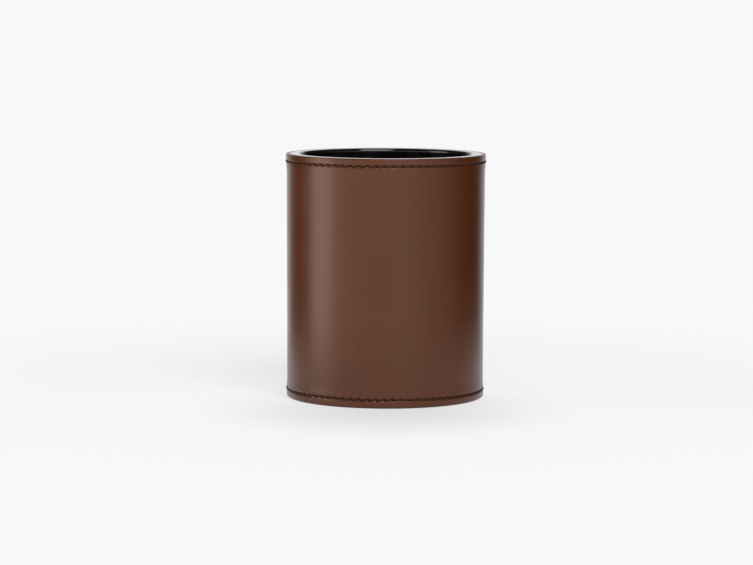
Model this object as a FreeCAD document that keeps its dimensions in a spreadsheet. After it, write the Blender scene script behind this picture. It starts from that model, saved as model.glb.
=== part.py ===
"""Round leather-covered pen cup: a sewn sleeve, a plastic liner and a glued base.

The origin is the middle of the base on the table, +Z is up and the front faces -Y.
The sleeve's back seam is at +Y. Lengths are in millimetres and angles in degrees.
"""

import FreeCAD
import Part
import Sketcher
import math
import os

from FreeCAD import Vector

DRIVING_SIZES = {
    # Whole cup
    "overall_height": 100.0,
    "foot_radius": 40.27,
    "sleeve_draft": 0.225,
    "foot_gap": 0.35,
    # Leather
    "leather_thickness": 1.2,
    "top_hem_swell": 0.34,
    "foot_hem_swell": 0.22,
    "seam_swell": 0.18,
    "seam_taper": 4.0,
    "groove_depth": 0.2,
    "groove_margin": 0.1,
    "groove_slope": 0.35,
    "leather_edge_round": 0.45,
    "lap_width": 6.0,
    "lap_gap": 0.08,
    # Stiffener
    "stiffener_thickness": 1.6,
    "stiffener_gap": 0.6,
    "stiffener_gap_angle": 14.0,
    # Sewing
    "stitches_per_turn": 74,
    "back_stitches": 24,
    "thread_diameter": 0.55,
    "thread_bend": 0.42,
    "needle_slack": 0.16,
    "seam_below_rim": 3.1,
    "seam_above_base": 0.45,
    "back_seam_inset": 0.1,
    # Liner
    "lip_thickness": 1.2,
    "lip_clearance": 0.08,
    "lip_edge_round": 0.25,
    "mouth_round": 1.1,
    "liner_wall": 1.8,
    "liner_floor": 2.0,
    "liner_draft": 0.55,
    "liner_floor_round": 2.5,
    "liner_clearance": 0.2,
    "shoulder_clearance": 0.12,
    "foot_ring_width": 3.0,
    "foot_ring_height": 1.4,
    # Base
    "base_board_thickness": 2.0,
    "base_board_clearance": 0.1,
    "base_board_chamfer": 0.3,
    "base_pad_thickness": 1.0,
    "base_pad_inset": 0.5,
}

# Edges whose radius and height agree this closely are the same edge.
SAME_PLACE = 0.01

doc = FreeCAD.newDocument("pen_cup")
sheet = doc.addObject("Spreadsheet::Sheet", "dims")
for row, (alias, size) in enumerate(DRIVING_SIZES.items(), start=1):
    sheet.set(f"A{row}", alias)
    sheet.set(f"B{row}", str(size))
    sheet.setAlias(f"B{row}", alias)
doc.recompute()


def value(expression):
    """Number that an expression on the sheet gives now."""
    result = sheet.evalExpression(str(expression))
    return float(getattr(result, "Value", result))


# Heights above the table.
SLEEVE_FOOT = "dims.foot_gap"
RIM = "dims.overall_height"
BOARD_TOP = "(dims.overall_height - dims.lip_thickness)"
PAD_TOP = "dims.base_pad_thickness"
BASE_TOP = "(dims.base_pad_thickness + dims.base_board_thickness)"
TOP_SEAM = "(dims.overall_height - dims.seam_below_rim)"
FOOT_SEAM = f"({BASE_TOP} + dims.seam_above_base)"
SHOULDER_FOOT = f"({TOP_SEAM} + dims.thread_diameter / 2 + dims.liner_clearance * 2)"
LINER_FOOT = BASE_TOP
FLOOR_UNDERSIDE = f"({LINER_FOOT} + dims.foot_ring_height)"
FLOOR_TOP = f"({FLOOR_UNDERSIDE} + dims.liner_floor)"

# Grooves that the ring stitches lie in, counted from the middle of the seam.
GROOVE_FLOOR_HALF = "(dims.thread_diameter / 2 + dims.groove_margin)"
GROOVE_HALF = f"({GROOVE_FLOOR_HALF} + dims.groove_slope)"
SEAM_REACH = f"({GROOVE_HALF} + dims.seam_taper)"

# Stitches.
HALF_STEP = "(180 deg / dims.stitches_per_turn)"
NEEDLE_HOLE_RADIUS = "(dims.thread_diameter + dims.needle_slack)"
LEG_OFFSET = "(dims.thread_diameter / 2 + dims.needle_slack / 2)"
BACK_SEAM_FOOT = f"({FOOT_SEAM} + {SEAM_REACH} + dims.back_seam_inset)"
BACK_SEAM_TOP = f"({TOP_SEAM} - {SEAM_REACH} - dims.back_seam_inset)"
BACK_PITCH = f"(({BACK_SEAM_TOP} - {BACK_SEAM_FOOT}) / dims.back_stitches)"


def sleeve_radius(height):
    """Outside radius of the plain leather at a height: the sleeve widens upward."""
    return f"(dims.foot_radius + ({height} - {SLEEVE_FOOT}) * tan(dims.sleeve_draft * 1 deg))"


def stiffener_outside(height):
    """Radius where the leather is glued to the stiffener."""
    return f"({sleeve_radius(height)} - dims.leather_thickness)"


def stiffener_inside(height):
    """Inside radius of the stiffener tube."""
    return f"({stiffener_outside(height)} - dims.stiffener_thickness)"


def lock_radius(height):
    """Radius in the middle of the stiffener, where needle and bobbin threads interlock."""
    return f"({stiffener_outside(height)} - dims.stiffener_thickness / 2)"


def swollen_radius(height):
    """Outside radius beside a seam, where the turned edge behind the leather still fills it out."""
    return f"({sleeve_radius(height)} + dims.seam_swell)"


def groove_radius(height):
    """Radius of the groove floor that the outer thread lies on."""
    return f"({swollen_radius(height)} - dims.groove_depth)"


def new_body(label):
    """Body for one sub-part; its label also names its file."""
    body = doc.addObject("PartDesign::Body", label)
    body.Label = label
    body.AllowCompound = True
    return body


def origin_feature(body, role):
    """Origin plane or axis of a body."""
    return next(item for item in body.Origin.OriginFeatures if item.Role == role)


def new_sketch(body, name, plane, across=None, up=None, lift=None, turn=None):
    """Sketch on an origin plane, shifted along its own axes and turned about its normal."""
    sketch = body.newObject("Sketcher::SketchObject", name)
    sketch.AttachmentSupport = (origin_feature(body, plane), "")
    sketch.MapMode = "FlatFace"
    if turn:
        sketch.AttachmentOffset = FreeCAD.Placement(Vector(), FreeCAD.Rotation(Vector(0, 0, 1), 1))
        sketch.setExpression("AttachmentOffset.Rotation.Angle", turn)
    for axis, shift in (("x", across), ("y", up), ("z", lift)):
        if shift:
            sketch.setExpression(f"AttachmentOffset.Base.{axis}", shift)
    return sketch


def bind(sketch, kind, *where, expression):
    """Sketch constraint whose value comes from the sheet."""
    index = sketch.addConstraint(Sketcher.Constraint(kind, *where, value(expression)))
    sketch.setExpression(f"Constraints[{index}]", expression)


def pin_point(sketch, line, end, corner):
    """Hold one end of a line at a corner given by two expressions from the origin."""
    for kind, expression in zip(("DistanceX", "DistanceY"), corner):
        if value(expression) < 0:
            bind(sketch, kind, line, end, -1, 1, expression=f"-({expression})")
        else:
            bind(sketch, kind, -1, 1, line, end, expression=expression)


def polygon(sketch, corners):
    """Closed outline with each corner held by the sheet."""
    points = [Vector(value(across), value(up), 0) for across, up in corners]
    lines = []
    for start, end in zip(points, points[1:] + points[:1]):
        lines.append(sketch.addGeometry(Part.LineSegment(start, end)))
    for line, following in zip(lines, lines[1:] + lines[:1]):
        sketch.addConstraint(Sketcher.Constraint("Coincident", line, 2, following, 1))
    for line, corner in zip(lines, corners):
        pin_point(sketch, line, 1, corner)


def circle(sketch, across, up, radius):
    """Circle with its middle and radius held by the sheet."""
    centre = Vector(value(across), value(up), 0)
    ring = sketch.addGeometry(Part.Circle(centre, Vector(0, 0, 1), value(radius)))
    pin_point(sketch, ring, 3, (across, up))
    bind(sketch, "Radius", ring, expression=radius)


def revolve(body, name, corners):
    """Full turn about Z of an outline given as radius and height."""
    sketch = new_sketch(body, name + "_outline", "XZ_Plane")
    polygon(sketch, corners)
    turned = body.newObject("PartDesign::Revolution", name)
    turned.Profile = sketch
    turned.ReferenceAxis = (sketch, ["V_Axis"])
    turned.Angle = 360
    sketch.Visibility = False
    return turned


def cut_through(body, name, sketch, reach, reversed_cut):
    """Pocket from a sketch, checked to have taken material away."""
    doc.recompute()
    volume_before = body.Shape.Volume
    pocket = body.newObject("PartDesign::Pocket", name)
    pocket.Profile = sketch
    pocket.Reversed = reversed_cut
    pocket.setExpression("Length", reach)
    doc.recompute()
    if pocket.Shape.Volume >= volume_before:
        raise RuntimeError(f"{body.Label}: {name} cuts nothing")
    sketch.Visibility = False
    return pocket


def turn_pattern(body, feature):
    """Repeat a feature at every stitch of a turn about Z."""
    pattern = body.newObject("PartDesign::PolarPattern", feature.Name + "_turn")
    pattern.Originals = [feature]
    pattern.Axis = (origin_feature(body, "Z_Axis"), [""])
    pattern.Angle = 360
    pattern.setExpression("Occurrences", "dims.stitches_per_turn")
    body.Tip = pattern
    doc.recompute()


def row_pattern(body, feature, direction, count):
    """Repeat a feature up the back seam, one stitch apart."""
    pattern = body.newObject("PartDesign::LinearPattern", feature.Name + "_row")
    pattern.Originals = [feature]
    pattern.Direction = direction
    pattern.setExpression("Occurrences", count)
    pattern.setExpression("Length", f"{BACK_PITCH} * ({count} - 1)")
    body.Tip = pattern
    doc.recompute()


def ease_circles(body, kind, name, circles, size):
    """Fillet or chamfer the circular edges at the given radius and height pairs."""
    doc.recompute()
    base = body.Tip
    wanted = [(value(across), value(up)) for across, up in circles]
    names = []
    for number, edge in enumerate(base.Shape.Edges, start=1):
        if not isinstance(edge.Curve, Part.Circle):
            continue
        place = (edge.Curve.Radius, edge.Curve.Center.z)
        if any(math.dist(place, target) < SAME_PLACE for target in wanted):
            names.append(f"Edge{number}")
    eased = body.newObject(f"PartDesign::{kind}", name)
    eased.Base = (base, names)
    eased.setExpression("Radius" if kind == "Fillet" else "Size", size)
    doc.recompute()


def needle_holes(body):
    """Holes of the two seams that run round the sleeve and of the back seam."""
    start = f"({stiffener_inside(SLEEVE_FOOT)} - 1)"
    reach = f"{sleeve_radius(RIM)} + dims.top_hem_swell + 1 - {start}"
    rings = new_sketch(body, f"{body.Label}_ring_holes", "XZ_Plane", lift=start)
    circle(rings, "0", TOP_SEAM, NEEDLE_HOLE_RADIUS)
    circle(rings, "0", FOOT_SEAM, NEEDLE_HOLE_RADIUS)
    pierced = cut_through(body, f"{body.Label}_ring_needle", rings, reach, True)
    turn_pattern(body, pierced)
    back = new_sketch(body, f"{body.Label}_back_hole", "XZ_Plane", lift=f"-{start}")
    circle(back, "0", BACK_SEAM_FOOT, NEEDLE_HOLE_RADIUS)
    pierced = cut_through(body, f"{body.Label}_back_needle", back, reach, False)
    upward = (origin_feature(body, "Z_Axis"), [""])
    row_pattern(body, pierced, upward, "(dims.back_stitches + 1)")


def leather_wrap():
    """Leather sheet rolled into a slightly conical sleeve with a half-lapped back seam."""
    body = new_body("leather_wrap")
    hem_at_foot = f"{sleeve_radius(SLEEVE_FOOT)} + dims.foot_hem_swell"
    hem_at_top = f"{sleeve_radius(RIM)} + dims.top_hem_swell"
    plain_foot = f"({FOOT_SEAM} + {SEAM_REACH})"
    plain_top = f"({TOP_SEAM} - {SEAM_REACH})"
    corners = [
        (stiffener_outside(SLEEVE_FOOT), SLEEVE_FOOT),
        (hem_at_foot, SLEEVE_FOOT),
        (hem_at_foot, f"{FOOT_SEAM} - {GROOVE_HALF}"),
        (groove_radius(FOOT_SEAM), f"{FOOT_SEAM} - {GROOVE_FLOOR_HALF}"),
        (groove_radius(FOOT_SEAM), f"{FOOT_SEAM} + {GROOVE_FLOOR_HALF}"),
        (swollen_radius(FOOT_SEAM), f"{FOOT_SEAM} + {GROOVE_HALF}"),
        (sleeve_radius(plain_foot), plain_foot),
        (sleeve_radius(plain_top), plain_top),
        (swollen_radius(TOP_SEAM), f"{TOP_SEAM} - {GROOVE_HALF}"),
        (groove_radius(TOP_SEAM), f"{TOP_SEAM} - {GROOVE_FLOOR_HALF}"),
        (groove_radius(TOP_SEAM), f"{TOP_SEAM} + {GROOVE_FLOOR_HALF}"),
        (hem_at_top, f"{TOP_SEAM} + {GROOVE_HALF}"),
        (hem_at_top, RIM),
        (stiffener_outside(RIM), RIM),
    ]
    revolve(body, "leather_sleeve", corners)
    hem_edges = [(hem_at_foot, SLEEVE_FOOT), (hem_at_top, RIM)]
    edge_round = "min(dims.leather_edge_round; dims.leather_thickness / 3)"
    ease_circles(body, "Fillet", "leather_hem_edges", hem_edges, edge_round)

    middle = f"({sleeve_radius(RIM)} - dims.leather_thickness / 2)"
    outside = f"({sleeve_radius(RIM)} + dims.top_hem_swell + 1)"
    inside = f"({stiffener_outside(SLEEVE_FOOT)} - 1)"
    edge = "dims.lap_width / 2"
    lap = new_sketch(body, "leather_lap_outline", "XY_Plane", lift=SLEEVE_FOOT)
    polygon(lap, [
        (f"{edge}", outside),
        (f"{edge}", f"{middle} + dims.lap_gap"),
        (f"-{edge}", f"{middle} + dims.lap_gap"),
        (f"-{edge}", inside),
        (f"-{edge} + dims.lap_gap", inside),
        (f"-{edge} + dims.lap_gap", middle),
        (f"{edge} + dims.lap_gap", middle),
        (f"{edge} + dims.lap_gap", outside),
    ])
    cut_through(body, "leather_lap", lap, "dims.overall_height", True)
    needle_holes(body)


def stiffener_board():
    """Fibreboard rolled into the tube that the leather is glued on; its ends nearly meet."""
    body = new_body("stiffener_board")
    revolve(body, "stiffener_tube", [
        (stiffener_inside(SLEEVE_FOOT), SLEEVE_FOOT),
        (stiffener_outside(SLEEVE_FOOT), SLEEVE_FOOT),
        (stiffener_outside(BOARD_TOP), BOARD_TOP),
        (stiffener_inside(BOARD_TOP), BOARD_TOP),
    ])
    gap = new_sketch(body, "stiffener_gap_outline", "XY_Plane", lift=SLEEVE_FOOT,
                     turn="dims.stiffener_gap_angle * 1 deg")
    half = "dims.stiffener_gap / 2"
    outside = f"({sleeve_radius(RIM)} + 1)"
    inside = f"({stiffener_inside(SLEEVE_FOOT)} - 1)"
    polygon(gap, [(f"-{half}", inside), (half, inside), (half, outside), (f"-{half}", outside)])
    cut_through(body, "stiffener_gap", gap, "dims.overall_height", True)
    needle_holes(body)


def arc_end_at(sketch, arc, point):
    """Which end of an arc, 1 or 2, lies at a point."""
    geometry = sketch.Geometry[arc]
    to_start = geometry.StartPoint.distanceToPoint(point)
    to_end = geometry.EndPoint.distanceToPoint(point)
    return 1 if to_start < to_end else 2


def quarter_turn(sketch, centre, radius, start_degrees):
    """Quarter of a circle, counter-clockwise from its start."""
    ring = Part.Circle(centre, Vector(0, 0, 1), radius)
    start = math.radians(start_degrees)
    return sketch.addGeometry(Part.ArcOfCircle(ring, start, start + math.pi / 2))


def draw_stitch(sketch, foot, crown_up, lean=0.0):
    """Legs, bends and crown of one stitch, drawn near their final places.

    A leg starts at foot, mirrored for the other leg, and the crown is level at crown_up.
    """
    bend = value("dims.thread_bend")
    crown = value(crown_up)
    rise = 1 if crown > foot.y else -1
    bend_up = crown - rise * bend
    leg_across = foot.x - (bend_up - foot.y) * math.tan(lean)
    bend_across = leg_across - bend
    left_leg = sketch.addGeometry(Part.LineSegment(Vector(-foot.x, foot.y), Vector(-leg_across, bend_up)))
    top = sketch.addGeometry(Part.LineSegment(Vector(-bend_across, crown), Vector(bend_across, crown)))
    right_leg = sketch.addGeometry(Part.LineSegment(Vector(leg_across, bend_up), Vector(foot.x, foot.y)))
    left_start, right_start = (90, 0) if rise > 0 else (180, 270)
    left_bend = quarter_turn(sketch, Vector(-bend_across, bend_up), bend, left_start)
    right_bend = quarter_turn(sketch, Vector(bend_across, bend_up), bend, right_start)
    corners = [
        (left_leg, 2, left_bend),
        (top, 1, left_bend),
        (top, 2, right_bend),
        (right_leg, 1, right_bend),
    ]
    for line, end, arc in corners:
        point = sketch.getPoint(line, end)
        arc_end = arc_end_at(sketch, arc, point)
        sketch.addConstraint(Sketcher.Constraint("Tangent", line, end, arc, arc_end))
    for arc in (left_bend, right_bend):
        bind(sketch, "Radius", arc, expression="dims.thread_bend")
    sketch.addConstraint(Sketcher.Constraint("Horizontal", top))
    if crown < 0:
        bind(sketch, "DistanceY", top, 1, -1, 1, expression=f"-({crown_up})")
    else:
        bind(sketch, "DistanceY", -1, 1, top, 1, expression=crown_up)
    return left_leg, right_leg


def sweep_thread(body, path):
    """Round thread swept along the path of one stitch, from the foot of its first leg."""
    doc.recompute()
    section = body.newObject("Sketcher::SketchObject", body.Label + "_section")
    section.AttachmentSupport = [(path, ("Edge1",)), (path, ("Vertex1",))]
    section.MapMode = "NormalToEdge"
    circle(section, "0", "0", "dims.thread_diameter / 2")
    stitch = body.newObject("PartDesign::AdditivePipe", body.Label + "_stitch")
    stitch.Profile = section
    edges = [f"Edge{number}" for number in range(1, len(path.Shape.Edges) + 1)]
    stitch.Spine = (path, edges)
    doc.recompute()
    for sketch in (path, section):
        sketch.Visibility = False
    return stitch


def ring_thread(label, height, crown_radius):
    """One thread of a seam round the sleeve: stitches that interlock in the stiffener."""
    body = new_body(label)
    lock = lock_radius(height)
    foot_across = f"({lock} * sin{HALF_STEP} - {LEG_OFFSET} * cos{HALF_STEP})"
    foot_up = f"-({lock} * cos{HALF_STEP} + {LEG_OFFSET} * sin{HALF_STEP})"
    path = new_sketch(body, label + "_path", "XY_Plane", lift=height, turn=HALF_STEP)
    foot = Vector(value(foot_across), value(foot_up), 0)
    lean = math.radians(value(HALF_STEP))
    legs = draw_stitch(path, foot, f"-({crown_radius})", lean)
    for leg, end, side in zip(legs, (1, 2), ("-1", "1")):
        pin_point(path, leg, end, (f"{side} * {foot_across}", foot_up))
        hole_across = f"{side} * {lock} * sin{HALF_STEP}"
        hole_up = f"-{lock} * cos{HALF_STEP}"
        hole_end = Vector(value(hole_across), value(hole_up), 0)
        hole_axis = path.addGeometry(Part.LineSegment(Vector(), hole_end), True)
        path.addConstraint(Sketcher.Constraint("Coincident", hole_axis, 1, -1, 1))
        pin_point(path, hole_axis, 2, (hole_across, hole_up))
        path.addConstraint(Sketcher.Constraint("Parallel", leg, hole_axis))
    turn_pattern(body, sweep_thread(body, path))


def back_thread(label, crown_depth):
    """One thread of the back seam; depths count inward from the leather's surface."""
    body = new_body(label)
    middle = f"({BACK_SEAM_FOOT} + {BACK_PITCH} / 2)"
    lock_depth = "(dims.leather_thickness + dims.stiffener_thickness / 2)"
    foot_across = f"({BACK_PITCH} / 2 - {LEG_OFFSET})"
    path = new_sketch(body, label + "_path", "YZ_Plane", across=sleeve_radius(middle), up=middle,
                      turn="(90 - dims.sleeve_draft) * 1 deg")
    foot = Vector(value(foot_across), value(lock_depth), 0)
    legs = draw_stitch(path, foot, crown_depth)
    for leg, end, side in zip(legs, (1, 2), ("-1", "1")):
        pin_point(path, leg, end, (f"{side} * {foot_across}", lock_depth))
        path.addConstraint(Sketcher.Constraint("Vertical", leg))
    row_pattern(body, sweep_thread(body, path), (path, ["H_Axis"]), "dims.back_stitches")


def seams():
    """Needle threads outside and bobbin threads inside, for the three seams."""
    half_thread = "dims.thread_diameter / 2"
    for seam, height in (("top", TOP_SEAM), ("foot", FOOT_SEAM)):
        ring_thread(f"{seam}_seam_needle_thread", height, f"{groove_radius(height)} + {half_thread}")
        ring_thread(f"{seam}_seam_bobbin_thread", height, f"{stiffener_inside(height)} - {half_thread}")
    back_thread("back_seam_needle_thread", f"-{half_thread}")
    sleeve_thickness = "dims.leather_thickness + dims.stiffener_thickness"
    back_thread("back_seam_bobbin_thread", f"{sleeve_thickness} + {half_thread}")


def liner_cup():
    """Moulded plastic cup: its lip lies on the stiffener, level with the leather's edge.

    A short shoulder under the lip centres it, and a ring foot stands on the base board.
    """
    body = new_body("liner_cup")
    clear_of_bobbin = f"({stiffener_inside(TOP_SEAM)} - dims.thread_diameter - dims.liner_clearance)"
    shoulder = f"({stiffener_inside(BOARD_TOP)} - dims.shoulder_clearance)"
    lip = f"({stiffener_outside(BOARD_TOP)} - dims.lip_clearance)"

    def outside(height):
        return f"({clear_of_bobbin} - ({SHOULDER_FOOT} - {height}) * tan(dims.liner_draft * 1 deg))"

    def inside(height):
        return f"({outside(height)} - dims.liner_wall)"

    ring_inside = f"{outside(LINER_FOOT)} - dims.foot_ring_width"
    revolve(body, "liner_shell", [
        ("0", FLOOR_TOP),
        (inside(FLOOR_TOP), FLOOR_TOP),
        (inside(RIM), RIM),
        (lip, RIM),
        (lip, BOARD_TOP),
        (shoulder, BOARD_TOP),
        (shoulder, SHOULDER_FOOT),
        (outside(SHOULDER_FOOT), SHOULDER_FOOT),
        (outside(LINER_FOOT), LINER_FOOT),
        (ring_inside, LINER_FOOT),
        (ring_inside, FLOOR_UNDERSIDE),
        ("0", FLOOR_UNDERSIDE),
    ])
    mouth_round = "min(dims.mouth_round; dims.liner_wall * 0.65)"
    ease_circles(body, "Fillet", "liner_mouth", [(inside(RIM), RIM)], mouth_round)
    edge_round = "min(dims.lip_edge_round; dims.lip_thickness * 0.4)"
    ease_circles(body, "Fillet", "liner_lip", [(lip, RIM)], edge_round)
    floor_edge = [(inside(FLOOR_TOP), FLOOR_TOP)]
    ease_circles(body, "Fillet", "liner_floor", floor_edge, "dims.liner_floor_round")


def base_board():
    """Fibreboard disc glued inside the foot of the sleeve; the liner stands on it."""
    body = new_body("base_board")
    under = f"{stiffener_inside(PAD_TOP)} - dims.base_board_clearance"
    over = f"{stiffener_inside(BASE_TOP)} - dims.base_board_clearance"
    revolve(body, "base_disc", [("0", PAD_TOP), (under, PAD_TOP), (over, BASE_TOP), ("0", BASE_TOP)])
    chamfer = "min(dims.base_board_chamfer; dims.base_board_thickness / 3)"
    ease_circles(body, "Chamfer", "base_disc_edges", [(under, PAD_TOP), (over, BASE_TOP)], chamfer)


def base_pad():
    """Felt disc glued under the base board; the cup stands on it."""
    body = new_body("base_pad")
    outline = new_sketch(body, "base_pad_outline", "XY_Plane")
    circle(outline, "0", "0", f"{stiffener_inside(SLEEVE_FOOT)} - dims.base_pad_inset")
    disc = body.newObject("PartDesign::Pad", "base_pad_disc")
    disc.Profile = outline
    disc.setExpression("Length", "dims.base_pad_thickness")
    outline.Visibility = False


def check_document():
    """Stop if any object failed or any sub-part's shape is empty or not valid."""
    doc.recompute()
    for item in doc.Objects:
        if "Invalid" in item.State or "Error" in item.State:
            raise RuntimeError(f"{item.Label} failed: {item.State}")
    for body in sub_parts():
        if body.Shape.isNull() or not body.Shape.isValid():
            raise RuntimeError(f"{body.Label} has no valid shape")


def sub_parts():
    """Bodies that are pieces of the cup."""
    return [item for item in doc.Objects if item.TypeId == "PartDesign::Body"]


leather_wrap()
stiffener_board()
seams()
liner_cup()
base_board()
base_pad()
check_document()

os.makedirs("parts", exist_ok=True)
for body in sub_parts():
    body.Shape.exportStep(f"parts/{body.Label}.step")
    print(f"{body.Label}: {len(body.Shape.Solids)} solids, {body.Shape.Volume:.1f} mm3")
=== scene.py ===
"""Leather-covered pen cup: stitched leather sleeve, glossy black liner, board and felt foot."""
import math
import random

import bpy
from mathutils import Matrix, Vector


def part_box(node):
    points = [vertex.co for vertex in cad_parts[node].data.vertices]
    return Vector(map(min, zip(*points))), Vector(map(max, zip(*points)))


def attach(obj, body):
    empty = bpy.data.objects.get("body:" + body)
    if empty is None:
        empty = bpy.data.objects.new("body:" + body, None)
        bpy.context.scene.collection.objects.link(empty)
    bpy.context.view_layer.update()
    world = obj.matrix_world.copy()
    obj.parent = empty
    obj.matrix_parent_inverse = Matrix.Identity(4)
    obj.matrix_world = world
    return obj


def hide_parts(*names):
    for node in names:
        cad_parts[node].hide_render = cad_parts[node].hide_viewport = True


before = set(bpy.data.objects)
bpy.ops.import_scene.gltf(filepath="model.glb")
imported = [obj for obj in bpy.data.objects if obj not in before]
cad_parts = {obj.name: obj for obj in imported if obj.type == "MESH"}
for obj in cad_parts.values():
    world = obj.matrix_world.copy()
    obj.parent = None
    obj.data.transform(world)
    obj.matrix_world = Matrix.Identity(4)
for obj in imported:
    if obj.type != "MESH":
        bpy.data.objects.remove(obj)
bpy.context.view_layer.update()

MM = 0.001

# Every length down to the lights is in millimetres.
# Tolerances for merging a section, merging its turns, finding a corner and cutting
SECTION_MERGE, TURN_MERGE, CORNER_FOUND, CUT_TOLERANCE = 0.001, 0.002, 0.004, 0.001

# Leather sleeve
STITCHES_PER_TURN = 74
COLUMNS_PER_STITCH = 12
SLEEVE_FOOT, RIM = 0.35, 100.0
FOOT_RADIUS, SLEEVE_DRAFT = 40.27, math.radians(0.225)
LEATHER_THICKNESS = 1.2
TOP_HEM_SWELL, FOOT_HEM_SWELL = 0.34, 0.22
SEAM_SWELL = 0.18
EDGE_ROUND, INNER_EDGE_ROUND = 0.45, 0.12
TOP_SEAM, FOOT_SEAM = 96.9, 3.45
GROOVE_DEPTH = 0.2
GLUE_LINE = 0.02
WALL_HEIGHTS = [10, 14, 20, 28, 36, 44, 52, 60, 68, 76, 83, 88, 91]
# Height over the plain leather at a distance from a seam, on the side away from the hem
SEAM_TAPER = [
    (4.75, 0.000), (4.00, 0.018), (3.20, 0.055), (2.40, 0.100), (1.70, 0.145), (1.20, 0.172),
    (0.92, 0.178), (0.72, 0.165), (0.56, 0.130), (0.42, 0.085), (0.28, 0.055), (0.10, 0.045),
]
# Share of the rise from the stitch line to the hem's swell, on the side towards the hem
HEM_RISE = [
    (0.10, 0.00), (0.28, 0.03), (0.42, 0.16), (0.56, 0.45), (0.72, 0.75), (0.90, 0.92),
    (1.15, 0.98), (1.55, 1.00), (2.05, 1.00),
]
# Needle hole: the leather this near to its middle is pushed in this far, and the pull spreads
HOLE_MOUTH, HOLE_PUSH, HOLE_REACH = 0.30, 0.55, 0.52
# Outer edge of the lap at the back, half the width and the depth of the line that it leaves
LAP_EDGE, LAP_OPENING, LAP_DEPTH = 3.04, 0.14, 0.5
# The line's foot, where it goes over to the rim, and how far it sinks in and down there
LAP_FOOT, LAP_TOP, LAP_RIM_DEPTH, LAP_RIM_SINK = 0.5, 99.8, 0.1, 0.3
# Strip of faces that is cut for the line, how near its vertices lie to it, and where the back is
LAP_STRIP, LAP_FOUND, BACK_HALF = 1.5, 0.01, 30

# Thread; the hollow between two plies is a share of the thread's radius
THREAD_RADIUS, THREAD_PLIES, PLY_HOLLOW = 0.275, 3, 0.72
THREAD_BEND, THREAD_SMOOTH = 0.42, math.radians(80)
LEG_OFFSET, LEG_STRAIGHT = 0.34, 0.5
LOCK_DEPTH = 2.0
STITCH_SLANT = math.radians(7.0)
# The plies turn by this angle over this length
PLY_TURN, PLY_LENGTH = math.radians(42), 0.42
# A crown has two points at this share of its half length
CROWN_SHARE = 0.34
# How far a stitch may lean, in degrees, and how far it may shift
STITCH_LEAN, STITCH_SHIFT = 1.6, 0.02
SWAY_SEED = 74
BACK_STITCHES, BACK_SEAM_INSET = 24, 4.825
BACK_SEAM_FOOT = FOOT_SEAM + BACK_SEAM_INSET
BACK_PITCH = (TOP_SEAM - BACK_SEAM_INSET - BACK_SEAM_FOOT) / BACK_STITCHES

# Liner and the boards that hold it
LINER_STEPS = 256
STIFFENER_THICKNESS = 1.6
BOARD_TOP, BASE_TOP = 98.8, 3.0
LINER_WALL, LINER_FLOOR, LINER_DRAFT = 1.8, 2.0, math.radians(0.55)
LINER_HEIGHTS = [20, 40, 60, 80]
SHOULDER_FOOT = TOP_SEAM + 0.675
LIP_CLEARANCE, SHOULDER_CLEARANCE, THREAD_CLEARANCE = 0.08, 0.12, 0.75
RING_WIDTH, RING_HEIGHT, RING_ROUND = 3.0, 1.4, 0.2
MOUTH_ROUND, LIP_ROUND, FLOOR_ROUND = 1.1, 0.25, 2.5
# Rows this far beside each round keep its curve in the shading away from the flat faces
BESIDE_ROUND = 0.25

# Felt foot; its rows are shares of its radius
FELT_STEPS = 144
FELT_UNDERSIDE, FELT_TOP = (0.2, 0.4, 0.6, 0.8, 0.93, 1.0), (0.93, 0.6, 0.3, 0)
FELT_FOOT_ROUND, FELT_TOP_ROUND = 0.3, 0.2


def sleeve_radius(height):
    """Outside radius of the plain leather at a height."""
    return FOOT_RADIUS + (height - SLEEVE_FOOT) * math.tan(SLEEVE_DRAFT)


# ---------------------------------------------------------------- modelling

def drop_selection():
    bpy.ops.object.select_all(action="DESELECT")


def pick(piece):
    """Makes a piece the only one selected, and the active one."""
    drop_selection()
    piece.select_set(True)
    bpy.context.view_layer.objects.active = piece


def add_object(name, data):
    """A new object in the scene that holds the data."""
    added = bpy.data.objects.new(name, data)
    bpy.context.collection.objects.link(added)
    return added


def merge_doubles(distance):
    """Merges what lies closer than a distance in the piece in edit mode."""
    bpy.ops.mesh.select_all(action="SELECT")
    bpy.ops.mesh.remove_doubles(threshold=distance * MM)


def start_section(name, corner):
    """A new piece in edit mode with one vertex at a (radius, height) corner."""
    drop_selection()
    bpy.ops.mesh.primitive_plane_add(size=MM)
    piece = bpy.context.object
    piece.name = piece.data.name = name
    bpy.ops.object.mode_set(mode="EDIT")
    bpy.ops.mesh.select_all(action="SELECT")
    bpy.ops.mesh.merge(type="CENTER")
    radius, height = corner
    bpy.ops.transform.translate(value=(radius * MM, 0, height * MM))
    return piece


def draw_section(name, corners, closed=False):
    """Wire section through (radius, height) corners, extruded from corner to corner."""
    piece = start_section(name, corners[0])
    stops = corners[1:] + corners[:1] if closed else corners[1:]
    radius, height = corners[0]
    for next_radius, next_height in stops:
        move = ((next_radius - radius) * MM, 0, (next_height - height) * MM)
        bpy.ops.mesh.extrude_region_move(TRANSFORM_OT_translate={"value": move})
        radius, height = next_radius, next_height
    merge_doubles(SECTION_MERGE)
    return piece


def choose(piece, wanted):
    """Selects the vertices of a piece in edit mode whose place, in millimetres, is wanted."""
    bpy.ops.mesh.select_all(action="DESELECT")
    bpy.ops.object.mode_set(mode="OBJECT")
    for vertex in piece.data.vertices:
        vertex.select = bool(wanted(vertex.co / MM))
    bpy.ops.object.mode_set(mode="EDIT")
    bpy.ops.mesh.select_mode(type="VERT")


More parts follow.
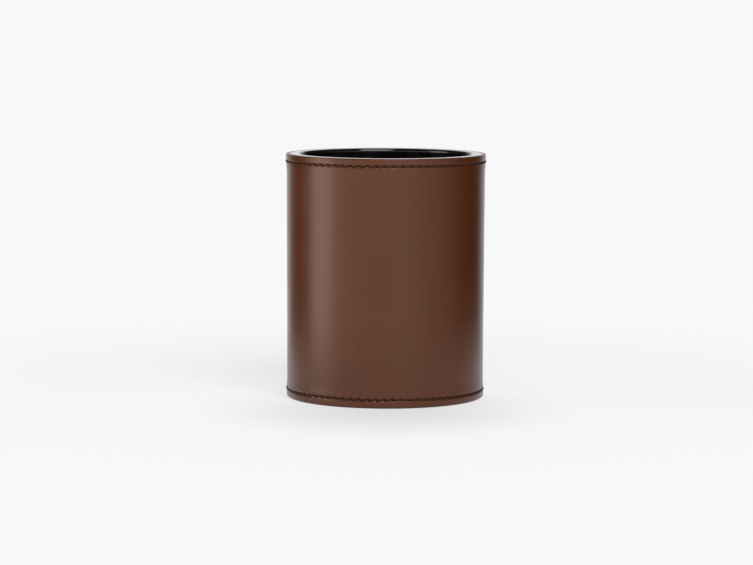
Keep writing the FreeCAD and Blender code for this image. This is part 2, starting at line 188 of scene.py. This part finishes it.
def choose_faces(piece, wanted):
    """Selects the faces of a piece in edit mode whose centre, in millimetres, is wanted."""
    bpy.ops.mesh.select_mode(type="FACE")
    bpy.ops.mesh.select_all(action="DESELECT")
    bpy.ops.object.mode_set(mode="OBJECT")
    for face in piece.data.polygons:
        face.select = bool(wanted(face.center / MM))
    bpy.ops.object.mode_set(mode="EDIT")


def round_corner(piece, corner, size, segments):
    """Rounds one corner of a wire section."""
    radius, height = corner
    place = Vector((radius, 0, height))
    choose(piece, lambda co: (co - place).length < CORNER_FOUND)
    bpy.ops.mesh.bevel(offset=size * MM, segments=segments, affect="VERTICES", clamp_overlap=False)


def spin_section(steps, angle=math.tau):
    """Turns a wire section about the cup's axis, and merges where it meets itself."""
    bpy.ops.mesh.select_all(action="SELECT")
    bpy.ops.mesh.spin(steps=steps, angle=angle, center=(0, 0, 0), axis=(0, 0, 1))
    merge_doubles(TURN_MERGE)


def close_piece(piece, smooth_degrees):
    """Faces outward, back to object mode, and smooth shading up to an angle."""
    bpy.ops.mesh.select_mode(type="VERT")
    bpy.ops.mesh.select_all(action="SELECT")
    bpy.ops.mesh.normals_make_consistent(inside=False)
    bpy.ops.object.mode_set(mode="OBJECT")
    pick(piece)
    bpy.ops.object.shade_smooth_by_angle(angle=math.radians(smooth_degrees))


def fit(piece, material, node):
    """Gives a finished piece its material and body, and hides the node that it stands for."""
    piece.data.materials.clear()
    piece.data.materials.append(material)
    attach(piece, "root")
    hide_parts(node)


# ---------------------------------------------------------------- shader nodes

def add_node(nodes, kind, **values):
    """A shader node with its inputs set; an underscore in a keyword stands for a space."""
    node = nodes.new(kind)
    for name, value in values.items():
        node.inputs[name.replace("_", " ")].default_value = value
    return node


def feed(links, source, target):
    """Links an output to an input, or gives the input a number."""
    if isinstance(source, (int, float)):
        target.default_value = source
    else:
        links.new(source, target)


def add_math(nodes, links, operation, first, second):
    """Value of a Math node; each side is an output or a number."""
    node = nodes.new("ShaderNodeMath")
    node.operation = operation
    feed(links, first, node.inputs[0])
    feed(links, second, node.inputs[1])
    return node.outputs["Value"]


def mix_colours(nodes, links, factor, first, second, blend="MIX"):
    """Colour of a Mix node; the factor is an output or a number."""
    mix = nodes.new("ShaderNodeMix")
    mix.data_type = "RGBA"
    mix.blend_type = blend
    feed(links, factor, mix.inputs["Factor"])
    links.new(first, mix.inputs["A"])
    links.new(second, mix.inputs["B"])
    return mix.outputs["Result"]


def ease(nodes, links, value, start, end, low=0.0, high=1.0):
    """Goes softly from low to high as a value goes from start to end."""
    step = add_node(nodes, "ShaderNodeMapRange", From_Min=start, From_Max=end,
                    To_Min=low, To_Max=high)
    step.interpolation_type = "SMOOTHSTEP"
    links.new(value, step.inputs["Value"])
    return step.outputs["Result"]


def add_bump(nodes, links, shader, height, strength, distance):
    """Raises a shader's surface by a height that changes over it."""
    bump = add_node(nodes, "ShaderNodeBump", Strength=strength, Distance=distance)
    links.new(height, bump.inputs["Height"])
    links.new(bump.outputs["Normal"], shader.inputs["Normal"])


def new_material(name):
    material = bpy.data.materials.new(name)
    material.use_nodes = True
    nodes, links = material.node_tree.nodes, material.node_tree.links
    shader = nodes["Principled BSDF"]
    coords = nodes.new("ShaderNodeTexCoord").outputs["Object"]
    return material, nodes, links, shader, coords


def new_group(name, inputs, outputs):
    """A shader node group with named sockets; inputs and outputs are (name, kind, default)."""
    group = bpy.data.node_groups.new(name, "ShaderNodeTree")
    for direction, sockets in (("INPUT", inputs), ("OUTPUT", outputs)):
        for label, kind, default in sockets:
            socket = group.interface.new_socket(name=label, in_out=direction, socket_type=kind)
            if default is not None:
                socket.default_value = default
    start = group.nodes.new("NodeGroupInput")
    end = group.nodes.new("NodeGroupOutput")
    return group, group.nodes, group.links, start.outputs, end.inputs


def mottle_group():
    """Two colours and a roughness that drift into each other in soft, uneven patches."""
    group, nodes, links, given, out = new_group(
        "soft_mottle",
        [("Vector", "NodeSocketVector", None), ("Scale", "NodeSocketFloat", 60.0),
         ("Light", "NodeSocketColor", (1, 1, 1, 1)), ("Dark", "NodeSocketColor", (0, 0, 0, 1)),
         ("Smooth", "NodeSocketFloat", 0.35), ("Rough", "NodeSocketFloat", 0.45)],
        [("Color", "NodeSocketColor", None), ("Roughness", "NodeSocketFloat", None)],
    )
    noise = add_node(nodes, "ShaderNodeTexNoise", Detail=5.0, Roughness=0.62)
    links.new(given["Vector"], noise.inputs["Vector"])
    links.new(given["Scale"], noise.inputs["Scale"])
    spread = add_node(nodes, "ShaderNodeMapRange", From_Min=0.32, From_Max=0.68)
    links.new(noise.outputs["Fac"], spread.inputs["Value"])
    patches = spread.outputs["Result"]
    links.new(mix_colours(nodes, links, patches, given["Dark"], given["Light"]), out["Color"])
    rough = nodes.new("ShaderNodeMapRange")
    links.new(patches, rough.inputs["Value"])
    links.new(given["Smooth"], rough.inputs["To Min"])
    links.new(given["Rough"], rough.inputs["To Max"])
    links.new(rough.outputs["Result"], out["Roughness"])
    return group


def add_mottle(nodes, links, coords, **values):
    """The mottle in a material, with its own values."""
    node = nodes.new("ShaderNodeGroup")
    node.node_tree = MOTTLE
    for name, value in values.items():
        node.inputs[name].default_value = value
    links.new(coords, node.inputs["Vector"])
    return node.outputs


def cover(links, shader, mottle):
    """Colours and dulls a shader with one mottle."""
    links.new(mottle["Color"], shader.inputs["Base Color"])
    links.new(mottle["Roughness"], shader.inputs["Roughness"])


# ---------------------------------------------------------------- materials

def leather_material():
    """Smooth finished cowhide: fine pebble grain, soft patches and small darker flecks."""
    material, nodes, links, shader, coords = new_material("brown_leather_finish")
    patches = add_mottle(nodes, links, coords, Scale=45.0, Light=(0.0932, 0.0243, 0.0076, 1),
                         Dark=(0.0846, 0.0219, 0.0065, 1), Smooth=0.26, Rough=0.32)
    flecks = add_mottle(nodes, links, coords, Scale=900.0, Light=(1, 1, 1, 1),
                        Dark=(0.93, 0.93, 0.93, 1))
    dyed = mix_colours(nodes, links, 1.0, patches["Color"], flecks["Color"], blend="MULTIPLY")
    links.new(dyed, shader.inputs["Base Color"])
    links.new(patches["Roughness"], shader.inputs["Roughness"])
    pebbles = add_node(nodes, "ShaderNodeTexVoronoi", Scale=1900.0, Randomness=0.9)
    pebbles.feature = "F1"
    creases = add_node(nodes, "ShaderNodeTexNoise", Scale=620.0, Detail=4.0)
    links.new(coords, pebbles.inputs["Vector"])
    links.new(coords, creases.inputs["Vector"])
    grain = add_math(nodes, links, "SUBTRACT", creases.outputs["Fac"], pebbles.outputs["Distance"])
    add_bump(nodes, links, shader, grain, strength=0.14, distance=0.00006)
    shader.inputs["IOR"].default_value = 1.5
    shader.inputs["Specular Tint"].default_value = (1.0, 0.85, 0.75, 1)
    return material


def plastic_material():
    """Glossy moulded black plastic with faint handling marks."""
    material, nodes, links, shader, coords = new_material("black_plastic_finish")
    cover(links, shader, add_mottle(nodes, links, coords, Scale=120.0,
                                    Light=(0.0030, 0.0029, 0.0028, 1),
                                    Dark=(0.0020, 0.0019, 0.0018, 1), Smooth=0.08, Rough=0.16))
    shader.inputs["IOR"].default_value = 1.6
    return material


def thread_material():
    """Dark brown waxed thread with lighter and darker fibres."""
    material, nodes, links, shader, coords = new_material("dark_thread_finish")
    cover(links, shader, add_mottle(nodes, links, coords, Scale=2600.0,
                                    Light=(0.060, 0.0215, 0.0105, 1),
                                    Dark=(0.022, 0.0085, 0.0048, 1), Smooth=0.60, Rough=0.85))
    shader.inputs["Specular IOR Level"].default_value = 0.12
    return material


def board_material(name, light, dark):
    """Pressed fibre: short fibres in the colour and a slightly furred surface."""
    material, nodes, links, shader, coords = new_material(name)
    cover(links, shader, add_mottle(nodes, links, coords, Scale=900.0, Light=light, Dark=dark,
                                    Smooth=0.78, Rough=0.93))
    fur = add_node(nodes, "ShaderNodeTexNoise", Scale=1500.0, Detail=6.0)
    links.new(coords, fur.inputs["Vector"])
    add_bump(nodes, links, shader, fur.outputs["Fac"], strength=0.5, distance=0.0001)
    return material


MOTTLE = mottle_group()
LEATHER = leather_material()
PLASTIC = plastic_material()
THREAD = thread_material()
STIFFENER = board_material("stiffener_fibre_finish", (0.21, 0.165, 0.115, 1), (0.12, 0.09, 0.06, 1))
BASE_BOARD = board_material("base_fibre_finish", (0.17, 0.13, 0.09, 1), (0.09, 0.068, 0.045, 1))
FELT = board_material("black_felt_finish", (0.028, 0.028, 0.030, 1), (0.007, 0.007, 0.008, 1))


# ---------------------------------------------------------------- leather sleeve

def seam_rows(seam, towards_hem, hem_swell):
    """(radius, height) rows of the outer face across one seam, from the foot upward."""
    lowest = SEAM_TAPER[-1][1]
    section = [(-distance, over) for distance, over in SEAM_TAPER]
    section += [(distance, lowest + share * (hem_swell - lowest)) for distance, share in HEM_RISE]
    rows = [(sleeve_radius(seam + towards_hem * distance) + over, seam + towards_hem * distance)
            for distance, over in section]
    return rows if towards_hem > 0 else rows[::-1]


def draw_sleeve_section():
    """The sheet's section with its rounded edges."""
    inner_foot = (sleeve_radius(SLEEVE_FOOT) - LEATHER_THICKNESS + GLUE_LINE, SLEEVE_FOOT)
    inner_top = (sleeve_radius(RIM) - LEATHER_THICKNESS + GLUE_LINE, RIM)
    outer_foot = (sleeve_radius(SLEEVE_FOOT) + FOOT_HEM_SWELL, SLEEVE_FOOT)
    outer_top = (sleeve_radius(RIM) + TOP_HEM_SWELL, RIM)
    wall = [(sleeve_radius(height), height) for height in WALL_HEIGHTS]
    corners = [inner_foot, outer_foot, *seam_rows(FOOT_SEAM, -1, FOOT_HEM_SWELL), *wall,
               *seam_rows(TOP_SEAM, 1, TOP_HEM_SWELL), outer_top, inner_top]
    piece = draw_section("leather_sleeve", corners, closed=True)
    for corner in (outer_foot, outer_top):
        round_corner(piece, corner, EDGE_ROUND, segments=5)
    for corner in (inner_foot, inner_top):
        round_corner(piece, corner, INNER_EDGE_ROUND, segments=2)
    return piece


def far_angle(piece):
    """Angle about the axis of the vertex that a spin has carried furthest."""
    bpy.ops.object.mode_set(mode="OBJECT")
    angles = [math.atan2(vertex.co.y, vertex.co.x) for vertex in piece.data.vertices]
    bpy.ops.object.mode_set(mode="EDIT")
    return max(angles, key=abs)


def prick_hole(piece, seam, angle):
    """Pushes the leather in where the thread of a seam goes down."""
    radius = sleeve_radius(seam) + SEAM_TAPER[-1][1]
    hole = Vector((radius * math.cos(angle), radius * math.sin(angle), seam))
    inward = Vector((-math.cos(angle), -math.sin(angle), 0))
    choose(piece, lambda co: (co - hole).length < HOLE_MOUTH)
    bpy.ops.transform.translate(value=inward * HOLE_PUSH * MM, use_proportional_edit=True,
                                proportional_edit_falloff="SMOOTH",
                                proportional_size=HOLE_REACH * MM)


def cut_lap(piece):
    """The outer end of the sheet shows at the back as one fine line from rim to foot."""
    def in_strip(co):
        middle = sleeve_radius(co.z) - LEATHER_THICKNESS / 2
        return (co.y > BACK_HALF and abs(co.x - LAP_EDGE) < LAP_STRIP
                and Vector((co.x, co.y)).length > middle)

    def on_edge(co):
        return co.y > BACK_HALF and abs(co.x - LAP_EDGE) < LAP_FOUND

    for across in (LAP_EDGE - LAP_OPENING, LAP_EDGE, LAP_EDGE + LAP_OPENING):
        choose_faces(piece, in_strip)
        bpy.ops.mesh.bisect(plane_co=(across * MM, 0, 0), plane_no=(1, 0, 0),
                            threshold=CUT_TOLERANCE * MM)
    choose(piece, lambda co: on_edge(co) and LAP_FOOT < co.z < LAP_TOP)
    bpy.ops.transform.translate(value=(0, -LAP_DEPTH * MM, 0))
    choose(piece, lambda co: on_edge(co) and co.z >= LAP_TOP)
    bpy.ops.transform.translate(value=(0, -LAP_RIM_DEPTH * MM, -LAP_RIM_SINK * MM))


def make_leather_sleeve():
    """One stitch length of the sleeve is spun and pricked, then copied round the cup."""
    piece = draw_sleeve_section()
    step = math.tau / STITCHES_PER_TURN
    spin_section(COLUMNS_PER_STITCH, step)
    hole_angle = math.copysign(step / 2, far_angle(piece))
    for seam in (TOP_SEAM, FOOT_SEAM):
        prick_hole(piece, seam, hole_angle)
    bpy.ops.mesh.select_all(action="SELECT")
    bpy.ops.mesh.spin(steps=STITCHES_PER_TURN - 1, angle=math.tau - step, dupli=True,
                      center=(0, 0, 0), axis=(0, 0, 1))
    merge_doubles(TURN_MERGE)
    cut_lap(piece)
    close_piece(piece, smooth_degrees=50)
    return piece


# ---------------------------------------------------------------- stitches

def stitch_path(half_span):
    """Points of one stitch in its own plane, (across, out), from foot to foot."""
    crown_half = half_span - THREAD_BEND
    bend = [(crown_half + THREAD_BEND * math.cos(angle),
             -THREAD_BEND + THREAD_BEND * math.sin(angle))
            for angle in map(math.radians, (0, 30, 60, 90))]
    right = [(half_span, -LOCK_DEPTH), (half_span, -THREAD_BEND - LEG_STRAIGHT), *bend]
    left = [(-across, out) for across, out in right]
    middle = [(-crown_half * CROWN_SHARE, 0.0), (crown_half * CROWN_SHARE, 0.0)]
    return left + middle + right[::-1]


def ply_section():
    """Section of the twisted thread: one round lobe for each ply."""
    section = bpy.data.curves.new("ply_section", "CURVE")
    lobes = section.splines.new("POLY")
    lobes.points.add(2 * THREAD_PLIES - 1)
    for number, point in enumerate(lobes.points):
        radius = THREAD_RADIUS * (1.0 if number % 2 == 0 else PLY_HOLLOW)
        angle = number * math.tau / (2 * THREAD_PLIES)
        point.co = (radius * MM * math.cos(angle), radius * MM * math.sin(angle), 0, 1)
    lobes.use_cyclic_u = True
    return add_object("ply_section", section)


def make_stitch(name, half_span):
    """One stitch of three-ply thread, lying along X with its crown towards +Y."""
    section = ply_section()
    path = bpy.data.curves.new(name, "CURVE")
    path.dimensions = "3D"
    spline = path.splines.new("POLY")
    points = stitch_path(half_span)
    spline.points.add(len(points) - 1)
    walked = 0.0
    for number, (point, (across, out)) in enumerate(zip(spline.points, points)):
        if number:
            walked += math.dist(points[number - 1], (across, out))
        slant = -math.tan(STITCH_SLANT) * across
        point.co = (across * MM, out * MM, slant * MM, 1)
        point.tilt = walked / PLY_LENGTH * PLY_TURN
    path.bevel_mode = "OBJECT"
    path.bevel_object = section
    path.use_fill_caps = True
    pick(add_object(name, path))
    bpy.ops.object.convert(target="MESH")
    stitch = bpy.context.object
    bpy.data.objects.remove(section)
    bpy.ops.object.mode_set(mode="EDIT")
    merge_doubles(TURN_MERGE)
    bpy.ops.mesh.normals_make_consistent(inside=False)
    bpy.ops.object.mode_set(mode="OBJECT")
    return stitch


def gather(name, stitch, places):
    """Copies one stitch to every place and joins the copies in one piece."""
    copies = []
    for place in places:
        copy = add_object(name, stitch.data.copy())
        copy.data.transform(place)
        copies.append(copy)
    bpy.data.objects.remove(stitch)
    drop_selection()
    for copy in copies:
        copy.select_set(True)
    bpy.context.view_layer.objects.active = copies[0]
    bpy.ops.object.join()
    piece = bpy.context.object
    piece.name = piece.data.name = name
    bpy.ops.object.shade_smooth_by_angle(angle=THREAD_SMOOTH)
    return piece


def lean(sway):
    """A small turn of one stitch out of its row."""
    return Matrix.Rotation(math.radians(sway.uniform(-STITCH_LEAN, STITCH_LEAN)), 4, "Y")


def make_ring_stitches(name, seam, sway):
    """Needle thread of a seam round the sleeve; each stitch sways a little from the others."""
    step = math.tau / STITCHES_PER_TURN
    radius = sleeve_radius(seam) + SEAM_SWELL - GROOVE_DEPTH + THREAD_RADIUS
    stitch = make_stitch(name, radius * math.sin(step / 2) - LEG_OFFSET)
    places = []
    for number in range(STITCHES_PER_TURN):
        around = Matrix.Rotation((number + 0.5) * step + math.pi, 4, "Z")
        leaning = lean(sway)
        out = radius + sway.uniform(-STITCH_SHIFT, 0.0)
        up = seam + sway.uniform(-STITCH_SHIFT, STITCH_SHIFT)
        places.append(around @ Matrix.Translation((0, out * MM, up * MM)) @ leaning)
    return gather(name, stitch, places)


def make_back_stitches(name, sway):
    """Needle thread of the seam that closes the sleeve at the back."""
    stitch = make_stitch(name, BACK_PITCH / 2 - LEG_OFFSET)
    upright = Matrix.Rotation(math.radians(-90), 4, "Y")
    places = []
    for number in range(BACK_STITCHES):
        up = BACK_SEAM_FOOT + (number + 0.5) * BACK_PITCH
        leaning = lean(sway)
        out = sleeve_radius(up) + THREAD_RADIUS - sway.uniform(0.0, STITCH_SHIFT)
        places.append(Matrix.Translation((0, out * MM, up * MM)) @ leaning @ upright)
    return gather(name, stitch, places)


# ---------------------------------------------------------------- liner and foot

def make_liner():
    """Moulded cup: flat lip, rounded mouth, drafted wall, floor with a ring foot."""
    sheets = LEATHER_THICKNESS + STIFFENER_THICKNESS
    lip = sleeve_radius(BOARD_TOP) - LEATHER_THICKNESS - LIP_CLEARANCE
    shoulder = sleeve_radius(BOARD_TOP) - sheets - SHOULDER_CLEARANCE
    clear_of_thread = sleeve_radius(TOP_SEAM) - sheets - THREAD_CLEARANCE

    def outside(height):
        return clear_of_thread - (SHOULDER_FOOT - height) * math.tan(LINER_DRAFT)

    def inside(height):
        return outside(height) - LINER_WALL

    floor_underside = BASE_TOP + RING_HEIGHT
    floor_top = BASE_TOP + RING_HEIGHT + LINER_FLOOR
    mouth, floor_edge = (inside(RIM), RIM), (inside(floor_top), floor_top)
    ring_outer = (outside(BASE_TOP), BASE_TOP)
    ring_inner = (outside(BASE_TOP) - RING_WIDTH, BASE_TOP)
    wall = [floor_top + FLOOR_ROUND + BESIDE_ROUND, *LINER_HEIGHTS,
            RIM - MOUTH_ROUND - BESIDE_ROUND]
    corners = [
        (0, floor_top), (floor_edge[0] - FLOOR_ROUND - BESIDE_ROUND, floor_top), floor_edge,
        *[(inside(height), height) for height in wall], mouth,
        (mouth[0] + MOUTH_ROUND + BESIDE_ROUND, RIM), (lip - LIP_ROUND - BESIDE_ROUND, RIM),
        (lip, RIM), (lip, BOARD_TOP), (shoulder, BOARD_TOP), (shoulder, SHOULDER_FOOT),
        (outside(SHOULDER_FOOT), SHOULDER_FOOT), ring_outer, ring_inner,
        (ring_inner[0], floor_underside), (0, floor_underside),
    ]
    piece = draw_section("liner_moulding", corners)
    round_corner(piece, mouth, MOUTH_ROUND, segments=7)
    round_corner(piece, (lip, RIM), LIP_ROUND, segments=4)
    round_corner(piece, floor_edge, FLOOR_ROUND, segments=7)
    round_corner(piece, ring_outer, RING_ROUND, segments=2)
    round_corner(piece, ring_inner, RING_ROUND, segments=2)
    spin_section(LINER_STEPS)
    close_piece(piece, smooth_degrees=35)
    return piece


def make_felt_foot():
    """Felt disc with a softly crushed edge."""
    _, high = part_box("base_pad")
    radius, thickness = high.x / MM, high.z / MM
    corners = [(0, 0)] + [(radius * share, 0) for share in FELT_UNDERSIDE]
    corners += [(radius, thickness)] + [(radius * share, thickness) for share in FELT_TOP]
    piece = draw_section("felt_foot", corners)
    round_corner(piece, (radius, 0), FELT_FOOT_ROUND, segments=3)
    round_corner(piece, (radius, thickness), FELT_TOP_ROUND, segments=2)
    spin_section(FELT_STEPS)
    close_piece(piece, smooth_degrees=60)
    return piece


fit(make_leather_sleeve(), LEATHER, "leather_wrap")
SWAY = random.Random(SWAY_SEED)
fit(make_ring_stitches("top_stitches", TOP_SEAM, SWAY), THREAD,
    "top_seam_needle_thread")
fit(make_ring_stitches("foot_stitches", FOOT_SEAM, SWAY), THREAD,
    "foot_seam_needle_thread")
fit(make_back_stitches("back_stitches", SWAY), THREAD, "back_seam_needle_thread")
fit(make_liner(), PLASTIC, "liner_cup")
fit(make_felt_foot(), FELT, "base_pad")

for node, material in {
    "stiffener_board": STIFFENER,
    "base_board": BASE_BOARD,
    "top_seam_bobbin_thread": THREAD,
    "foot_seam_bobbin_thread": THREAD,
    "back_seam_bobbin_thread": THREAD,
}.items():
    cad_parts[node].material_slots[0].material = material


# ---------------------------------------------------------------- floor, camera and lights

# Lengths from here on are in metres.
PALE = 0.939
FLOOR_RADIUS, FLOOR_SIDES = 1.0, 96
FLOOR_BOUNCE, FLOOR_PALE, FLOOR_GLOW = 0.90, 0.32, 0.71
# Distances from the axis: where the glow starts under the cup's edge, leaving painted contact shade
# under the cup, and the floor's two fades
GLOW_EDGE, SEEN_FADE, BOUNCE_FADE = (0.0393, 0.0398), (0.12, 0.30), (0.05, 0.14)
# Middle and reach of the painted shadow in front of the cup, where the floor's glow is dimmed, and
# the glow left in it
PAINTED_SHADOW_MIDDLE, PAINTED_SHADOW_REACH, PAINTED_SHADOW_LEFT = (0, -0.045, 0), 0.085, 0.74
# Soft light that stands round the cup: azimuth in degrees and level, from behind over the left
ROOM_PANELS = [
    (-180, 1.05), (-165, 1.30), (-150, 0.78), (-135, 0.08), (-120, 0.00), (-105, 0.18),
    (-90, 0.60), (-75, 0.90), (-60, 1.22), (-45, 1.10), (-30, 0.90), (-15, 0.92), (0, 0.92),
    (15, 1.10), (30, 1.05), (45, 0.78), (60, 0.58), (75, 0.43), (90, 0.10), (105, 0.01),
    (120, 0.00), (135, 0.02), (150, 0.70), (165, 1.20), (180, 1.05),
]
PANEL_TOP, CEILING_FOOT, CEILING_LEVEL = math.radians(6), math.radians(17), 0.06
# Lit wall behind the cup: cosine of the angle from straight behind at its edge and where it is full
BACK_WALL_EDGE, BACK_WALL_FULL, BACK_WALL_LEVEL = 0.80, 0.93, 0.90
# Focal length and frame width in pixels, and sensor width in millimetres
FOCAL_LENGTH, FRAME_WIDTH, SENSOR_WIDTH = 3070.5, 753, 36
# The camera's place, and its turn to the left, dip and roll in degrees
CAMERA_PLACE, CAMERA_TURN, CAMERA_DIP, CAMERA_ROLL = (0, -1.2567, 0.1721), 0.1663, 5.695, 0.229
# azimuth, elevation, distance, width and height, power, colour
LAMPS = {
    "left_softbox": (-79, 0, 1.1, (0.57, 1.40), 5.45, (1.0, 0.94, 0.885)),
    "key_softbox": (16, 45, 2.2, (1.44, 1.32), 36.0, (1.0, 1.0, 1.0)),
}
LAMP_AIM = (0, 0, 0.05)


def split_by_ray(nodes, links, rays, seen, unseen, target):
    """Sends one shader to the kinds of ray that are named and another to all the others."""
    kinds = nodes.new("ShaderNodeLightPath").outputs
    named = kinds[rays[0]]
    for ray in rays[1:]:
        named = add_math(nodes, links, "MAXIMUM", named, kinds[ray])
    mix = nodes.new("ShaderNodeMixShader")
    links.new(named, mix.inputs["Fac"])
    links.new(unseen, mix.inputs[1])
    links.new(seen, mix.inputs[2])
    links.new(mix.outputs["Shader"], target)


def room_panels(nodes, links, azimuth):
    """Level of the soft light that stands round the cup, by its azimuth in radians."""
    around = add_node(nodes, "ShaderNodeMapRange", From_Min=-math.pi, From_Max=math.pi)
    links.new(azimuth, around.inputs["Value"])
    panels = nodes.new("ShaderNodeValToRGB")
    stops = panels.color_ramp.elements
    brightest = max(level for _, level in ROOM_PANELS)
    for number, (degrees, level) in enumerate(ROOM_PANELS):
        if number == 0:
            stop = stops[0]
        elif number == len(ROOM_PANELS) - 1:
            stop = stops[-1]
        else:
            stop = stops.new((degrees + 180) / 360)
        grey = level / brightest
        stop.color = (grey, grey, grey, 1)
    links.new(around.outputs["Result"], panels.inputs["Fac"])
    return add_math(nodes, links, "MULTIPLY", panels.outputs["Color"], brightest)


def make_world():
    """Pale backdrop for what is seen; soft panels, a lit wall and a dark ceiling for the rest."""
    world = bpy.data.worlds.new("studio")
    bpy.context.scene.world = world
    world.use_nodes = True
    nodes, links = world.node_tree.nodes, world.node_tree.links
    direction = nodes.new("ShaderNodeSeparateXYZ")
    links.new(nodes.new("ShaderNodeTexCoord").outputs["Generated"], direction.inputs["Vector"])
    right, back, up = (direction.outputs[axis] for axis in "XYZ")
    front = add_math(nodes, links, "MULTIPLY", back, -1.0)
    panels = room_panels(nodes, links, add_math(nodes, links, "ARCTAN2", right, front))
    level = nodes.new("ShaderNodeMix")
    links.new(ease(nodes, links, up, math.sin(PANEL_TOP), math.sin(CEILING_FOOT)),
              level.inputs["Factor"])
    links.new(panels, level.inputs["A"])
    level.inputs["B"].default_value = CEILING_LEVEL
    wall = ease(nodes, links, back, BACK_WALL_EDGE, BACK_WALL_FULL, high=BACK_WALL_LEVEL)
    room = nodes["Background"]
    room.inputs["Color"].default_value = (1, 1, 1, 1)
    links.new(add_math(nodes, links, "MAXIMUM", level.outputs["Result"], wall),
              room.inputs["Strength"])
    backdrop = add_node(nodes, "ShaderNodeBackground", Color=(PALE, PALE, PALE, 1))
    split_by_ray(nodes, links, ("Is Camera Ray", "Is Transmission Ray"),
                 backdrop.outputs["Background"], room.outputs["Background"],
                 nodes["World Output"].inputs["Surface"])


def distance_from(nodes, links, coords, point):
    """How far each place on the floor lies from a point."""
    distance = nodes.new("ShaderNodeVectorMath")
    distance.operation = "DISTANCE"
    distance.inputs[1].default_value = point
    links.new(coords, distance.inputs[0])
    return distance.outputs["Value"]


def fade_out(nodes, links, distance, shader, start, end):
    """A shader of the floor that fades to nothing between two distances from the axis."""
    faded = nodes.new("ShaderNodeMixShader")
    links.new(ease(nodes, links, distance, start, end), faded.inputs["Fac"])
    links.new(shader, faded.inputs[1])
    links.new(nodes.new("ShaderNodeBsdfTransparent").outputs["BSDF"], faded.inputs[2])
    return faded.outputs["Shader"]


def make_floor():
    """Pale floor that keeps the cup's shadow, with painted shade in its glow under and in front of
    the cup, and fades into the backdrop.
    """
    drop_selection()
    bpy.ops.mesh.primitive_circle_add(vertices=FLOOR_SIDES, radius=FLOOR_RADIUS, fill_type="NGON")
    floor = bpy.context.object
    floor.name = floor.data.name = "pale_floor"
    material, nodes, links, paint, coords = new_material("pale_floor_paint")
    paint.inputs["Base Color"].default_value = (FLOOR_PALE, FLOOR_PALE, FLOOR_PALE, 1)
    paint.inputs["Roughness"].default_value = 0.9
    paint.inputs["Specular IOR Level"].default_value = 0.1
    from_axis = distance_from(nodes, links, coords, (0, 0, 0))
    from_painted_shadow = distance_from(nodes, links, coords, PAINTED_SHADOW_MIDDLE)
    # The glow is left out under the cup's edge, so the gap under the sleeve shows painted contact
    # shade.
    glow_past_painted_contact_shade = ease(nodes, links, from_axis, *GLOW_EDGE, high=FLOOR_GLOW)
    # The glow is dimmed in a pool in front of the cup: painted shadow.
    shade = ease(nodes, links, from_painted_shadow, 0.0, PAINTED_SHADOW_REACH, low=PAINTED_SHADOW_LEFT)
    glow = nodes.new("ShaderNodeEmission")
    links.new(add_math(nodes, links, "MULTIPLY", glow_past_painted_contact_shade, shade), glow.inputs["Strength"])
    lit = nodes.new("ShaderNodeAddShader")
    links.new(paint.outputs["BSDF"], lit.inputs[0])
    links.new(glow.outputs["Emission"], lit.inputs[1])
    bounce = add_node(nodes, "ShaderNodeBsdfDiffuse",
                      Color=(FLOOR_BOUNCE, FLOOR_BOUNCE, FLOOR_BOUNCE, 1))
    split_by_ray(nodes, links, ("Is Camera Ray", "Is Transmission Ray", "Is Glossy Ray"),
                 fade_out(nodes, links, from_axis, lit.outputs["Shader"], *SEEN_FADE),
                 fade_out(nodes, links, from_axis, bounce.outputs["BSDF"], *BOUNCE_FADE),
                 nodes["Material Output"].inputs["Surface"])
    floor.data.materials.append(material)


def make_camera():
    """Camera in front of the cup, looking a little down on it."""
    data = bpy.data.cameras.new("camera")
    data.sensor_width = SENSOR_WIDTH
    data.lens = FOCAL_LENGTH / FRAME_WIDTH * SENSOR_WIDTH
    data.clip_start = 0.01
    camera = add_object("camera", data)
    camera.matrix_world = (Matrix.Translation(CAMERA_PLACE)
                           @ Matrix.Rotation(math.radians(CAMERA_TURN), 4, "Z")
                           @ Matrix.Rotation(math.radians(90 - CAMERA_DIP), 4, "X")
                           @ Matrix.Rotation(math.radians(CAMERA_ROLL), 4, "Z"))
    bpy.context.scene.camera = camera


def away_from_cup(azimuth, elevation):
    """Direction from the cup; azimuth 0 is the camera's side and 90 is the right."""
    around, up = math.radians(azimuth), math.radians(elevation)
    return Vector((math.sin(around) * math.cos(up), -math.cos(around) * math.cos(up), math.sin(up)))


def make_softbox(name, azimuth, elevation, distance, size, power, colour):
    """Area lamp that faces the cup."""
    data = bpy.data.lights.new(name, "AREA")
    data.shape = "RECTANGLE"
    data.size, data.size_y = size
    data.energy = power
    data.color = colour
    lamp = add_object(name, data)
    away = away_from_cup(azimuth, elevation)
    lamp.location = Vector(LAMP_AIM) + away * distance
    lamp.rotation_mode = "QUATERNION"
    lamp.rotation_quaternion = away.to_track_quat("Z", "Y")


make_world()
make_floor()
make_camera()
for lamp_name, lamp_values in LAMPS.items():
    make_softbox(lamp_name, *lamp_values)
bpy.context.scene.view_settings.view_transform = "Standard"
